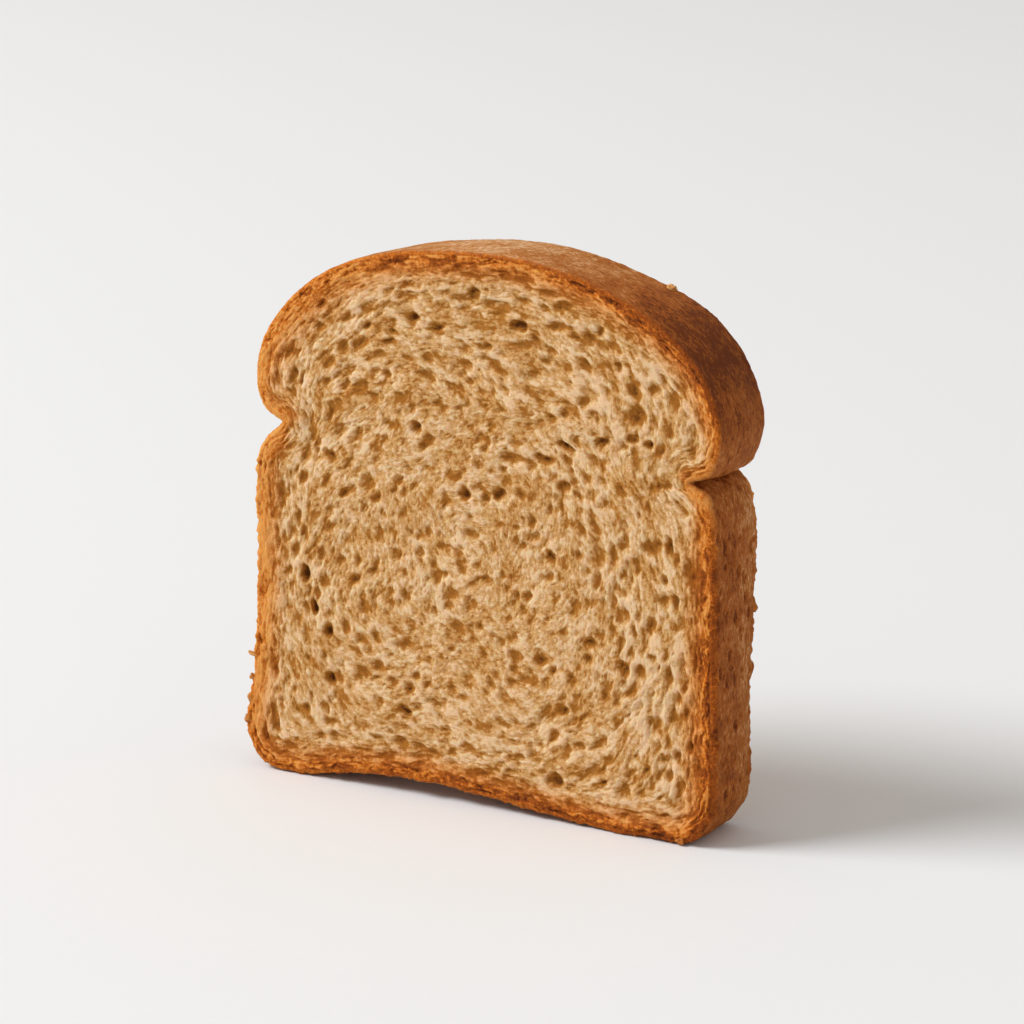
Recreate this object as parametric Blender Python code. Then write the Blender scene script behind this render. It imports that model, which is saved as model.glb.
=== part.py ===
"""A thick slice of toasted whole wheat sandwich bread, standing on its bottom crust.

Metres, +Z up. The cut face that is seen first looks towards -Y, and the origin is the bottom
centre of the slice's box. The slice is one solid: a domed loaf section with a fold in each
side, an arched base on two flat feet, rounded crust edges, and the larger holes of the crumb
as pits in both cut faces.
"""

import math
import random

import bpy
from mathutils import Vector, geometry, noise

MM = 0.001

# Driving sizes
THICKNESS = 18.5 * MM
EDGE_ROUND = 0.8 * MM
SIDE_BULGE = 0.35 * MM
OUTLINE_STEP = 2.7 * MM
CRUST_ROUGHNESS = 0.28 * MM
FACE_ROUGHNESS = 0.35 * MM

# Outline of the cut face in millimetres, (x, z), clockwise as seen from the front.
# The dome runs from the left fold over the crown to the right fold.
DOME = (
    (-47.0, 76.9), (-51.7, 80.2), (-53.1, 86.5), (-51.0, 95.3), (-44.0, 104.2),
    (-34.0, 111.1), (-20.0, 115.7), (-2.0, 117.5), (12.0, 117.1), (24.0, 114.8),
    (38.0, 109.5), (48.0, 102.8), (54.0, 95.6), (56.8, 86.0), (54.9, 78.2), (50.0, 75.7),
)
# The body runs from the right fold down the side, along the arched base and up to the left fold.
BODY = (
    (50.0, 75.7), (54.6, 71.8), (56.0, 62.0), (56.5, 40.0), (56.8, 13.0), (54.2, 4.0),
    (48.0, 0.0), (33.0, 0.0), (18.0, 1.0), (4.0, 2.3), (-11.0, 3.4), (-26.0, 2.8),
    (-36.0, 1.3), (-42.5, 0.0), (-49.5, 0.0), (-55.2, 3.2), (-57.2, 9.5), (-55.4, 23.5),
    (-54.0, 38.0), (-53.9, 60.0), (-52.7, 71.0), (-47.0, 76.9),
)
# Where the back face's outline leaves the front's: (x, z) of the middle, reach, (dx, dz)
BACK_SHIFTS = (
    ((46.0, 105.5), 14.0, (0.9, 1.1)),
    ((56.8, 87.0), 9.0, (0.8, 0.0)),
    ((56.5, 24.0), 22.0, (-1.3, 0.0)),
    ((50.0, 75.7), 4.0, (1.9, 0.0)),
    ((56.0, 65.0), 8.0, (0.7, 0.0)),
    ((-22.0, 115.0), 17.0, (0.2, -0.8)),
    ((-54.5, 40.0), 24.0, (0.9, 0.0)),
)

# Crumb holes, as pits of an oval rim and one deeper middle point
PIT_SPACING = 5.7 * MM
PIT_LENGTH = (1.5 * MM, 2.7 * MM)
PIT_SLIMNESS = (0.5, 0.75)
PIT_DEPTH = (0.9 * MM, 1.9 * MM)
PIT_SIDES = 6
PIT_EDGE_MARGIN = 4.2 * MM
FILLER_SPACING = 4.0 * MM
FILLER_PIT_GAP = 3.1 * MM
FILLER_EDGE_GAP = 2.0 * MM
FACE_CENTRE = (0.0, 56.0 * MM)

CRUMB_COLOUR = (0.62, 0.37, 0.15, 1.0)
CRUMB_ROUGHNESS = 0.85


def clear_scene():
    for thing in list(bpy.data.objects):
        bpy.data.objects.remove(thing, do_unlink=True)


def curve_through(points):
    """Points of a smooth curve through the given ones, close together, by Catmull-Rom."""
    fine = []
    knots = [2 * points[0] - points[1], *points, 2 * points[-1] - points[-2]]
    pieces = 24
    for a, b, c, d in zip(knots, knots[1:], knots[2:], knots[3:]):
        for step in range(pieces):
            t = step / pieces
            fine.append(0.5 * (2 * b + (c - a) * t + (2 * a - 5 * b + 4 * c - d) * t**2
                               + (3 * b - a - 3 * c + d) * t**3))
    return [*fine, points[-1]]


def evenly(points, spacing):
    """The line through the points, resampled at even steps. Both ends are kept."""
    lengths = [0.0]
    for a, b in zip(points, points[1:]):
        lengths.append(lengths[-1] + (b - a).length)
    count = round(lengths[-1] / spacing)
    made, at = [], 0
    for step in range(count + 1):
        goal = lengths[-1] * step / count
        while at < len(points) - 2 and lengths[at + 1] < goal:
            at += 1
        share = (goal - lengths[at]) / (lengths[at + 1] - lengths[at])
        made.append(points[at].lerp(points[at + 1], share))
    return made


def front_outline():
    """The cut face's outline as a ring of even points, clockwise, with a point at each fold."""
    ring = []
    for stretch in (DOME, BODY):
        points = [Vector(p) * MM for p in stretch]
        ring += evenly(curve_through(points), OUTLINE_STEP)[:-1]
    return [Vector((p.x, max(p.y, 0.0))) for p in ring]


def back_outline(ring):
    """The same ring at the back face, moved a little where the loaf's side slants."""
    moved = []
    for p in ring:
        shift = Vector((0.0, 0.0))
        for middle, reach, by in BACK_SHIFTS:
            away = (p - Vector(middle) * MM).length / (reach * MM)
            shift += Vector(by) * MM * math.exp(-away**2)
        moved.append(p + shift)
    return [Vector((q.x, max(q.y, 0.0) if p.y > 0.0 else 0.0)) for p, q in zip(ring, moved)]


def outward_directions(ring):
    """The direction out of the slice at each point of a clockwise ring."""
    found = []
    for before, after in zip([ring[-1], *ring[:-1]], [*ring[1:], ring[0]]):
        along = (after - before).normalized()
        found.append(Vector((-along.y, along.x)))
    return found


def rim_stations():
    """(share of the way from front to back, inset) across the crust, with rounded edges."""
    stations = []
    for angle in (0.0, 45.0, 90.0):
        turn = math.radians(angle)
        depth = EDGE_ROUND * (1.0 - math.cos(turn))
        stations.append((depth / THICKNESS, EDGE_ROUND * (1.0 - math.sin(turn))))
    middle = [(0.28, -0.75 * SIDE_BULGE), (0.5, -SIDE_BULGE), (0.72, -0.75 * SIDE_BULGE)]
    return stations + middle + [(1.0 - share, inset) for share, inset in reversed(stations)]


def crust_rows(front, back):
    """Rows of points round the crust, from the front face's edge to the back face's."""
    outward = outward_directions(front)
    rows = []
    for share, inset in rim_stations():
        row = []
        for a, b, out in zip(front, back, outward):
            flat = a.lerp(b, share)
            y = THICKNESS * (share - 0.5)
            on_foot = a.y < 0.05 * MM
            bump = noise.noise(Vector((flat.x, y, flat.y)) * 420.0) * CRUST_ROUGHNESS
            push = -max(inset, 0.0) if on_foot else bump - inset
            place = flat + out * push
            lift = max(inset, 0.0) if on_foot else max(place.y, 0.0)
            row.append(Vector((place.x, y, lift)))
        rows.append(row)
    return rows


def grain_direction(x, z):
    """Which way a crumb hole is drawn out: round the loaf, along the nearest crust."""
    across = Vector(((x - FACE_CENTRE[0]) / 55.0 / MM, (z - FACE_CENTRE[1]) / 60.0 / MM))
    normal = Vector((across.x * abs(across.x), across.y * abs(across.y)))
    return math.atan2(normal.x, -normal.y)


def inside(point, ring):
    """True if the ring goes round the point."""
    odd = False
    for a, b in zip(ring, [*ring[1:], ring[0]]):
        if (a.y > point.y) != (b.y > point.y):
            crossing = a.x + (point.y - a.y) / (b.y - a.y) * (b.x - a.x)
            odd ^= point.x < crossing
    return odd


def scattered(draw, ring, spacing, margin, others=(), gap=0.0):
    """Points inside the ring at least spacing apart, margin from it and gap from the others."""
    low = Vector((min(p.x for p in ring), min(p.y for p in ring)))
    high = Vector((max(p.x for p in ring), max(p.y for p in ring)))
    kept, misses = [], 0
    while misses < 900:
        p = Vector((draw.uniform(low.x, high.x), draw.uniform(low.y, high.y)))
        clear = (
            all((p - q).length > spacing for q in kept)
            and all((p - q).length > gap for q in others)
            and inside(p, ring)
            and all((p - q).length > margin for q in ring)
        )
        if clear:
            kept.append(p)
        misses = 0 if clear else misses + 1
    return kept


def face_points(ring, seed):
    """(x, z, depth) of the points inside one cut face: pits, and the crumb between them."""
    draw = random.Random(seed)
    made = []
    pits = scattered(draw, ring, PIT_SPACING, PIT_EDGE_MARGIN)
    for pit in pits:
        half = draw.uniform(*PIT_LENGTH)
        slim = draw.uniform(*PIT_SLIMNESS)
        turn = grain_direction(pit.x, pit.y) + draw.uniform(-0.5, 0.5)
        made.append((pit.x, pit.y, draw.uniform(*PIT_DEPTH)))
        for side in range(PIT_SIDES):
            angle = math.tau * side / PIT_SIDES
            u, v = half * math.cos(angle), half * slim * math.sin(angle)
            x = pit.x + u * math.cos(turn) - v * math.sin(turn)
            z = pit.y + u * math.sin(turn) + v * math.cos(turn)
            made.append((x, z, draw.uniform(-0.5, 0.5) * FACE_ROUGHNESS))
    fillers = scattered(draw, ring, FILLER_SPACING, FILLER_EDGE_GAP, pits, FILLER_PIT_GAP)
    made += [(p.x, p.y, draw.uniform(-1.0, 1.0) * FACE_ROUGHNESS) for p in fillers]
    return made


def cap(rim, seed, front):
    """One cut face, as (its inner points, its triangles). An index below len(rim) is the rim's."""
    ring = [Vector((p.x, p.z)) for p in rim]
    inner = face_points(ring, seed)
    flat = ring + [Vector((x, z)) for x, z, _ in inner]
    made = geometry.delaunay_2d_cdt(flat, [], [list(range(len(ring)))], 1, 1e-9)
    original = [sources[0] for sources in made[3]]
    side = -1.0 if front else 1.0
    points = [Vector((x, side * (THICKNESS / 2 - depth), z)) for x, z, depth in inner]
    return points, [[original[corner] for corner in face] for face in made[2]]


def slice_mesh():
    """The whole closed surface: the crust's rows, and a cap of crumb on each side."""
    front = front_outline()
    rows = crust_rows(front, back_outline(front))
    count = len(front)
    points = [p for row in rows for p in row]
    faces = []
    for row in range(len(rows) - 1):
        for i in range(count):
            here, after = row * count + i, row * count + (i + 1) % count
            faces.append((here, after, after + count, here + count))
    for rim_row, seed, is_front in ((0, 11, True), (len(rows) - 1, 23, False)):
        inner, triangles = cap(rows[rim_row], seed, is_front)
        base = len(points)
        points += inner
        for face in triangles:
            corners = [rim_row * count + c if c < count else base + c - count for c in face]
            faces.append(corners if is_front else corners[::-1])
    return points, faces


def centred(points):
    """The points moved so that the bottom centre of their box is the origin."""
    middle_x = (min(p.x for p in points) + max(p.x for p in points)) / 2
    middle_y = (min(p.y for p in points) + max(p.y for p in points)) / 2
    lowest = min(p.z for p in points)
    return [p - Vector((middle_x, middle_y, lowest)) for p in points]


def toasted_crumb():
    made = bpy.data.materials.new("toasted_crumb")
    made.use_nodes = True
    surface = made.node_tree.nodes["Principled BSDF"]
    surface.inputs["Base Color"].default_value = CRUMB_COLOUR
    surface.inputs["Roughness"].default_value = CRUMB_ROUGHNESS
    surface.inputs["Metallic"].default_value = 0.0
    return made


def build_slice():
    points, faces = slice_mesh()
    mesh = bpy.data.meshes.new("toast_slice")
    mesh.from_pydata(centred(points), [], faces)
    mesh.shade_smooth()
    mesh.set_sharp_from_angle(angle=math.radians(40.0))
    mesh.materials.append(toasted_crumb())
    toast = bpy.data.objects.new("toast_slice", mesh)
    bpy.context.scene.collection.objects.link(toast)


clear_scene()
build_slice()
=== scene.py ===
import math

import bmesh
import bpy
import numpy as np
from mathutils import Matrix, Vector


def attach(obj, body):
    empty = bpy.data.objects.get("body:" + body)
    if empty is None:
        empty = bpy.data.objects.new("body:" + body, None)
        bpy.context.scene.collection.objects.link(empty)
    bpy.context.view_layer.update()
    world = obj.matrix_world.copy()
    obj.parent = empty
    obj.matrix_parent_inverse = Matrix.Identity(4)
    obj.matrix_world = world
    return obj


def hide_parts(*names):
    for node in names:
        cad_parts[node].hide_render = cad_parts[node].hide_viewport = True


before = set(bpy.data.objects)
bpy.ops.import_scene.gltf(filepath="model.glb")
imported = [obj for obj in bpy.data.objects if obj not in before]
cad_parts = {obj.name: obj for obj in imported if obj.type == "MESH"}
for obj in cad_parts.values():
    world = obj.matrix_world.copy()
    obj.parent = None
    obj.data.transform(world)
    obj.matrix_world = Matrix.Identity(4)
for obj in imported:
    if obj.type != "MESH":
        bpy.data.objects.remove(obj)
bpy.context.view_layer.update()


# The view
# A long lens looks at the cut face from its right-hand side and a little above, so that the
# crown and the right-hand crust show too.
VIEW_AZIMUTH = math.radians(30.54)
VIEW_ELEVATION = math.radians(14.10)
VIEW_DISTANCE = 0.8149
VIEW_TARGET = Vector((0.0092, -0.0092, 0.0648))
VIEW_LENS = 140.625

towards_camera = Vector((
    math.sin(VIEW_AZIMUTH) * math.cos(VIEW_ELEVATION),
    -math.cos(VIEW_AZIMUTH) * math.cos(VIEW_ELEVATION),
    math.sin(VIEW_ELEVATION),
))
lens = bpy.data.cameras.new("camera")
lens.lens = VIEW_LENS
lens.sensor_width = 36.0
lens.clip_end = 20.0
camera = bpy.data.objects.new("camera", lens)
camera.location = VIEW_TARGET + towards_camera * VIEW_DISTANCE
camera.rotation_euler = towards_camera.to_track_quat("Z", "Y").to_euler()
bpy.context.scene.collection.objects.link(camera)
bpy.context.scene.camera = camera
bpy.context.scene.view_settings.view_transform = "Standard"


# The floor
# A plain pale studio surface that runs on far behind the slice, so that it fills the view with
# no line where it ends.
FLOOR_HALF = 5.0
FLOOR_COLOUR = (0.85, 0.86, 0.872, 1.0)


def add_node(tree, kind, inputs=None, **settings):
    """A new node with its settings, and its inputs set or linked by their names or numbers."""
    made = tree.nodes.new(kind)
    for name, value in settings.items():
        setattr(made, name, value)
    for key, value in (inputs or {}).items():
        if isinstance(value, bpy.types.NodeSocket):
            tree.links.new(value, made.inputs[key])
        else:
            made.inputs[key].default_value = value
    return made


def new_material(name):
    """An empty material with its Principled surface, as (material, tree, surface)."""
    made = bpy.data.materials.new(name)
    made.use_nodes = True
    return made, made.node_tree, made.node_tree.nodes["Principled BSDF"]


floor_paint, _, surface = new_material("floor_paint")
surface.inputs["Base Color"].default_value = FLOOR_COLOUR
surface.inputs["Roughness"].default_value = 0.75
surface.inputs["Specular IOR Level"].default_value = 0.15
floor_mesh = bpy.data.meshes.new("floor")
floor_mesh.from_pydata(
    [(sx * FLOOR_HALF, sy * FLOOR_HALF, 0.0) for sx, sy in ((-1, -1), (1, -1), (1, 1), (-1, 1))],
    [], [(0, 1, 2, 3)])
floor_mesh.materials.append(floor_paint)
floor = bpy.data.objects.new("floor", floor_mesh)
bpy.context.scene.collection.objects.link(floor)


# The light
# One wide soft lamp high up at the left in front of the slice, far enough off that the floor
# only fades a little towards the right, and pale light from all round.
LAMP_DIRECTION = Vector((-0.62, -0.48, 0.72)).normalized()
LAMP_DISTANCE = 5.6
LAMP_SIZE = 3.0
LAMP_POWER = 353.0
LAMP_COLOUR = (0.96, 0.985, 1.0)
ROOM_COLOUR = (1.0, 0.94, 0.88, 1.0)
ROOM_STRENGTH = 0.505

lamp_light = bpy.data.lights.new("lamp", "AREA")
lamp_light.shape = "DISK"
lamp_light.size = LAMP_SIZE
lamp_light.energy = LAMP_POWER
lamp_light.color = LAMP_COLOUR
lamp = bpy.data.objects.new("lamp", lamp_light)
lamp.location = LAMP_DIRECTION * LAMP_DISTANCE
bpy.context.scene.collection.objects.link(lamp)

room = bpy.data.worlds.new("room")
room.use_nodes = True
room.node_tree.nodes["Background"].inputs["Color"].default_value = ROOM_COLOUR
room.node_tree.nodes["Background"].inputs["Strength"].default_value = ROOM_STRENGTH
bpy.context.scene.world = room


# The loaf's section
# The tin shaped the straight sides and the base of the loaf, and the dough rose over it as a
# dome that folds in where it left the tin. All lengths of the slice are in millimetres.
THICKNESS = 18.5
TOP_EDGE_ROUND = 0.9
SIDE_EDGE_ROUND = 1.5
SIDE_BULGE = 0.35
# The heights between which the straight sides end and the dome begins
FOLD_LOW, FOLD_HIGH = 74.0, 84.0
# The grid of each face: its cells' size, then how many go across and up
CELL = 0.26
ACROSS = round(111.0 / CELL)
UP = round(108.0 / CELL)

DOME = (
    (-47.0, 76.9), (-51.7, 80.2), (-53.1, 86.5), (-51.0, 95.3), (-44.0, 104.2),
    (-34.0, 111.1), (-20.0, 115.7), (-2.0, 117.5), (12.0, 117.1), (24.0, 114.8),
    (38.0, 109.5), (48.0, 102.8), (54.0, 95.6), (56.8, 86.0), (54.9, 78.2), (50.0, 75.7),
)
BODY = (
    (50.0, 75.7), (54.6, 71.8), (56.0, 62.0), (56.5, 40.0), (56.8, 13.0), (54.2, 4.0),
    (48.0, 0.0), (33.0, 0.0), (18.0, 1.0), (4.0, 2.3), (-11.0, 3.4), (-26.0, 2.8),
    (-36.0, 1.3), (-42.5, 0.0), (-49.5, 0.0), (-55.2, 3.2), (-57.2, 9.5), (-55.4, 23.5),
    (-54.0, 38.0), (-53.9, 60.0), (-52.7, 71.0), (-47.0, 76.9),
)
# Where the back face's outline stands off the front's: round which point, how far round it, and
# by how much
BACK_SHIFTS = (
    ((46.0, 105.5), 14.0, (0.9, 1.1)),
    ((56.8, 87.0), 9.0, (0.8, 0.0)),
    ((56.5, 24.0), 22.0, (-1.3, 0.0)),
    ((50.0, 75.7), 4.0, (1.9, 0.0)),
    ((56.0, 65.0), 8.0, (0.7, 0.0)),
    ((-22.0, 115.0), 17.0, (0.2, -0.8)),
    ((-54.5, 40.0), 24.0, (0.9, 0.0)),
)
# The four places where the sheet of crumb is gathered into a corner
CORNERS = ((-54.6, 2.6), (54.0, 3.6), (46.0, 104.4), (-44.0, 104.2))


def curve_through(points, pieces=24):
    """A smooth curve through the given points, by Catmull-Rom, as an array of close points."""
    p = np.array(points)
    p = np.vstack([2 * p[0] - p[1], p, 2 * p[-1] - p[-2]])
    t = (np.arange(pieces) / pieces)[None, :, None]
    a, b, c, d = (p[k:len(p) - 3 + k, None, :] for k in range(4))
    fine = 0.5 * (2 * b + (c - a) * t + (2 * a - 5 * b + 4 * c - d) * t**2
                  + (3 * b - a - 3 * c + d) * t**3)
    return np.vstack([fine.reshape(-1, 2), p[-2]])


def evenly(points, count):
    """The line through the points as count + 1 even points."""
    steps = np.hypot(*np.diff(points, axis=0).T)
    along = np.concatenate([[0.0], np.cumsum(steps)])
    goals = np.linspace(0.0, along[-1], count + 1)
    return np.stack([np.interp(goals, along, points[:, k]) for k in (0, 1)], axis=1)


def section_ring():
    """The section as one closed run of points from the first corner, anticlockwise."""
    line = np.vstack([curve_through(DOME)[:-1], curve_through(BODY)[:-1]])[::-1]
    line[:, 1] = np.maximum(line[:, 1], 0.0)
    starts = [int(np.argmin(np.hypot(*(line - corner).T))) for corner in CORNERS]
    line = np.roll(line, -starts[0], axis=0)
    ends = [(start - starts[0]) % len(line) for start in starts] + [len(line)]
    line = np.vstack([line, line[:1]])
    ring = []
    for first, last, count in zip(ends, ends[1:], (ACROSS, UP, ACROSS, UP)):
        ring.append(evenly(line[first:last + 1], count)[:-1])
    return np.vstack(ring)


def slanted(ring):
    """The section at the back face, which stands a little off the front's."""
    moved = ring.copy()
    for middle, reach, shift in BACK_SHIFTS:
        away = np.hypot(*(ring - middle).T) / reach
        moved += np.array(shift) * np.exp(-away**2)[:, None]
    moved[:, 1] = np.maximum(moved[:, 1], 0.0)
    return np.where(ring[:, 1:] > 0.0, moved, ring)


front_ring = section_ring()
back_ring = slanted(front_ring)
ahead = np.roll(front_ring, -2, axis=0) - np.roll(front_ring, 2, axis=0)
ahead /= np.hypot(*ahead.T)[:, None]
outward = np.stack([ahead[:, 1], -ahead[:, 0]], axis=1)
edge_round = np.interp(
    front_ring[:, 1], [FOLD_LOW, FOLD_HIGH], [SIDE_EDGE_ROUND, TOP_EDGE_ROUND])
CENTRE_X = (max(front_ring[:, 0].max(), back_ring[:, 0].max())
            + min(front_ring[:, 0].min(), back_ring[:, 0].min())) / 2


# The crumb of the two cut faces
# The knife went through thousands of gas bubbles, drawn out along the loaf's curve where the
# dough had flowed, and toasting stiffened the webs between them. Bubbles below the cut break
# through the floors of those above, so that pores open inside pores.
# How many random draws lie along each side of a table
HILL_TABLE = 64
DRAW_TABLE = 256
# The rings that the dough flowed in: their middle's height, their half sizes, and how square
FACE_MIDDLE = 55.0
FACE_HALF = (55.0, 60.0)
FACE_SQUARENESS = 2.6
# How far the torn crumb stands off the cut, and the share of the crust's flakes that it has
STRAND_HEIGHT = 0.12
FIBRE_HEIGHT = 0.105
FLUFF_HEIGHT = 0.03
SWELL_HEIGHT = 0.3
FLAKE_SHARE = 0.35


def hills(x, y, z, size, seed):
    """Soft random hills and hollows about one size across, from -1 to 1."""
    table = np.random.default_rng(seed).uniform(-1.0, 1.0, (HILL_TABLE,) * 3)
    total = 0.0
    cells, shares = [], []
    for axis in (x, y, z):
        low = np.floor(axis / size)
        part = axis / size - low
        cells.append(low.astype(int))
        shares.append(part * part * (3.0 - 2.0 * part))
    for corner in range(8):
        bits = [corner >> k & 1 for k in range(3)]
        weight = 1.0
        for bit, part in zip(bits, shares):
            weight = weight * (part if bit else 1.0 - part)
        i, j, k = ((cell + bit) % HILL_TABLE for cell, bit in zip(cells, bits))
        total = total + weight * table[i, j, k]
    return total


def carve(depth, x, z, grain, stretch, pitch, radius, sink, share, seed):
    """Bubbles of one size cut into the depth, wherever they meet the air above them."""
    table = np.random.default_rng(seed).random((5, DRAW_TABLE, DRAW_TABLE))
    column, row = np.floor(x / pitch).astype(int), np.floor(z / pitch).astype(int)
    along, across = np.cos(grain), np.sin(grain)
    for i in range(-2, 3):
        for j in range(-2, 3):
            draws = table[:, (column + i) % DRAW_TABLE, (row + j) % DRAW_TABLE]
            dx = x - (column + i + 0.1 + 0.8 * draws[0]) * pitch
            dz = z - (row + j + 0.1 + 0.8 * draws[1]) * pitch
            u, v = (dx * along + dz * across) / stretch, dz * along - dx * across
            size = radius[0] + (radius[1] - radius[0]) * draws[2]
            middle = sink[0] + (sink[1] - sink[0]) * draws[3]
            inside = size * size - u * u - v * v
            half = np.sqrt(np.maximum(inside, 0.0))
            cut = (inside > 0.0) & (middle - half < depth + 0.04) & (draws[4] < share)
            depth = np.where(cut, np.maximum(depth, middle + half), depth)
    return depth


def strew(x, z, grain, stretch, pitch, size, seed):
    """Soft lumps and hollows drawn out along the grain, each of its own height, added together."""
    table = np.random.default_rng(seed).random((3, DRAW_TABLE, DRAW_TABLE))
    column, row = np.floor(x / pitch).astype(int), np.floor(z / pitch).astype(int)
    along, across = np.cos(grain), np.sin(grain)
    total = np.zeros_like(x)
    for i in range(-2, 3):
        for j in range(-2, 3):
            draws = table[:, (column + i) % DRAW_TABLE, (row + j) % DRAW_TABLE]
            dx = x - (column + i + draws[0]) * pitch
            dz = z - (row + j + draws[1]) * pitch
            u, v = (dx * along + dz * across) / stretch, dz * along - dx * across
            fall = np.maximum(1.0 - (u * u + v * v) / (size * size), 0.0)
            total += (2.0 * draws[2] - 1.0) * fall * fall * fall
    return total


def softened(field, passes=1):
    """The field with each point averaged a little with those beside it."""
    for _ in range(passes):
        for axis in (0, 1):
            wide = np.pad(field, [(1, 1) if k == axis else (0, 0) for k in (0, 1)], mode="edge")
            before, after = (wide[:-2], wide[2:]) if axis == 0 else (wide[:, :-2], wide[:, 2:])
            field = 0.5 * field + 0.25 * (before + after)
    return field


def smooth_step(low, high, value):
    """From 0 at low to 1 at high, with both ends eased."""
    part = np.clip((value - low) / (high - low), 0.0, 1.0)
    return part * part * (3.0 - 2.0 * part)


def spread(ring):
    """A sheet of points [row, column] stretched inside a ring of four sides."""
    ring = np.vstack([ring, ring[:1]])
    bottom = ring[:ACROSS + 1]
    right = ring[ACROSS:ACROSS + UP + 1]
    top = ring[ACROSS + UP:2 * ACROSS + UP + 1][::-1]
    left = ring[2 * ACROSS + UP:][::-1]
    u = np.linspace(0.0, 1.0, ACROSS + 1)[None, :, None]
    v = np.linspace(0.0, 1.0, UP + 1)[:, None, None]
    sides = (1 - u) * left[:, None] + u * right[:, None] + (1 - v) * bottom[None] + v * top[None]
    corners = ((1 - u) * (1 - v) * bottom[0] + u * (1 - v) * bottom[-1]
               + (1 - u) * v * top[0] + u * v * top[-1])
    return sides - corners


def nearest_edge(sheet, ring):
    """How far each point of the sheet is from the ring, and which way the ring runs there."""
    points = sheet.reshape(-1, 2)
    posts, ways = ring[::3], np.arctan2(ahead[::3, 1], ahead[::3, 0])
    gaps, runs = np.zeros(len(points)), np.zeros(len(points))
    for start in range(0, len(points), 8192):
        block = points[start:start + 8192]
        gap = ((block[:, None] - posts[None])**2).sum(axis=2)
        gaps[start:start + 8192] = np.sqrt(gap.min(axis=1))
        runs[start:start + 8192] = ways[gap.argmin(axis=1)]
    return gaps.reshape(sheet.shape[:2]), runs.reshape(sheet.shape[:2])


def crags(x, y, z):
    """The torn flakes of the crust where the knife came through it."""
    ridge = 1.0 - np.abs(hills(x, y, z, 1.4, 31)) * 3.0
    flake = np.maximum(hills(x, y, z, 2.3, 34) - 0.25, 0.0)
    return (0.2 * ridge + 0.22 * hills(x, y, z, 0.75, 32) + 0.25 * hills(x, y, z, 3.1, 33)
            + 0.7 * flake)


# The browned rim round the cut face, by its bearing in degrees from the middle of the face: how
# far it reaches into the crumb, and how dark it toasted, from 0 for gold to 1 for rust
RIM_BEARINGS = (
    (-60, 2.1, 1.0), (-51, 2.4, 1.3), (-36, 3.1, 1.0), (-22, 2.9, 1.0), (-8, 2.3, 0.95),
    (6, 2.4, 0.9), (13, 1.8, 0.5), (18, 0.8, 0.1), (22.5, 0.4, 0.1), (26, 0.9, 0.4),
    (33, 2.0, 1.1), (45, 2.2, 1.15), (65, 2.2, 0.9), (90, 2.4, 0.8), (118, 2.9, 0.6),
    (132, 3.5, 0.5), (142, 3.1, 0.4), (151, 1.8, 0.1), (155, 0.8, -0.1), (162, 2.0, 0.0),
    (185, 2.4, 0.1), (205, 2.5, 0.2), (222, 2.5, 0.6), (245, 2.1, 0.85), (280, 2.1, 0.85),
    (300, 2.1, 1.0),
)


def rim_at(x, z):
    """The reach and the darkness of the browned rim at each point."""
    bearing = np.degrees(np.arctan2(z - FACE_MIDDLE, x))
    bearings, reaches, shades = np.array(RIM_BEARINGS).T
    return (np.interp(bearing, bearings, reaches, period=360.0),
            np.interp(bearing, bearings, shades, period=360.0))


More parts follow.
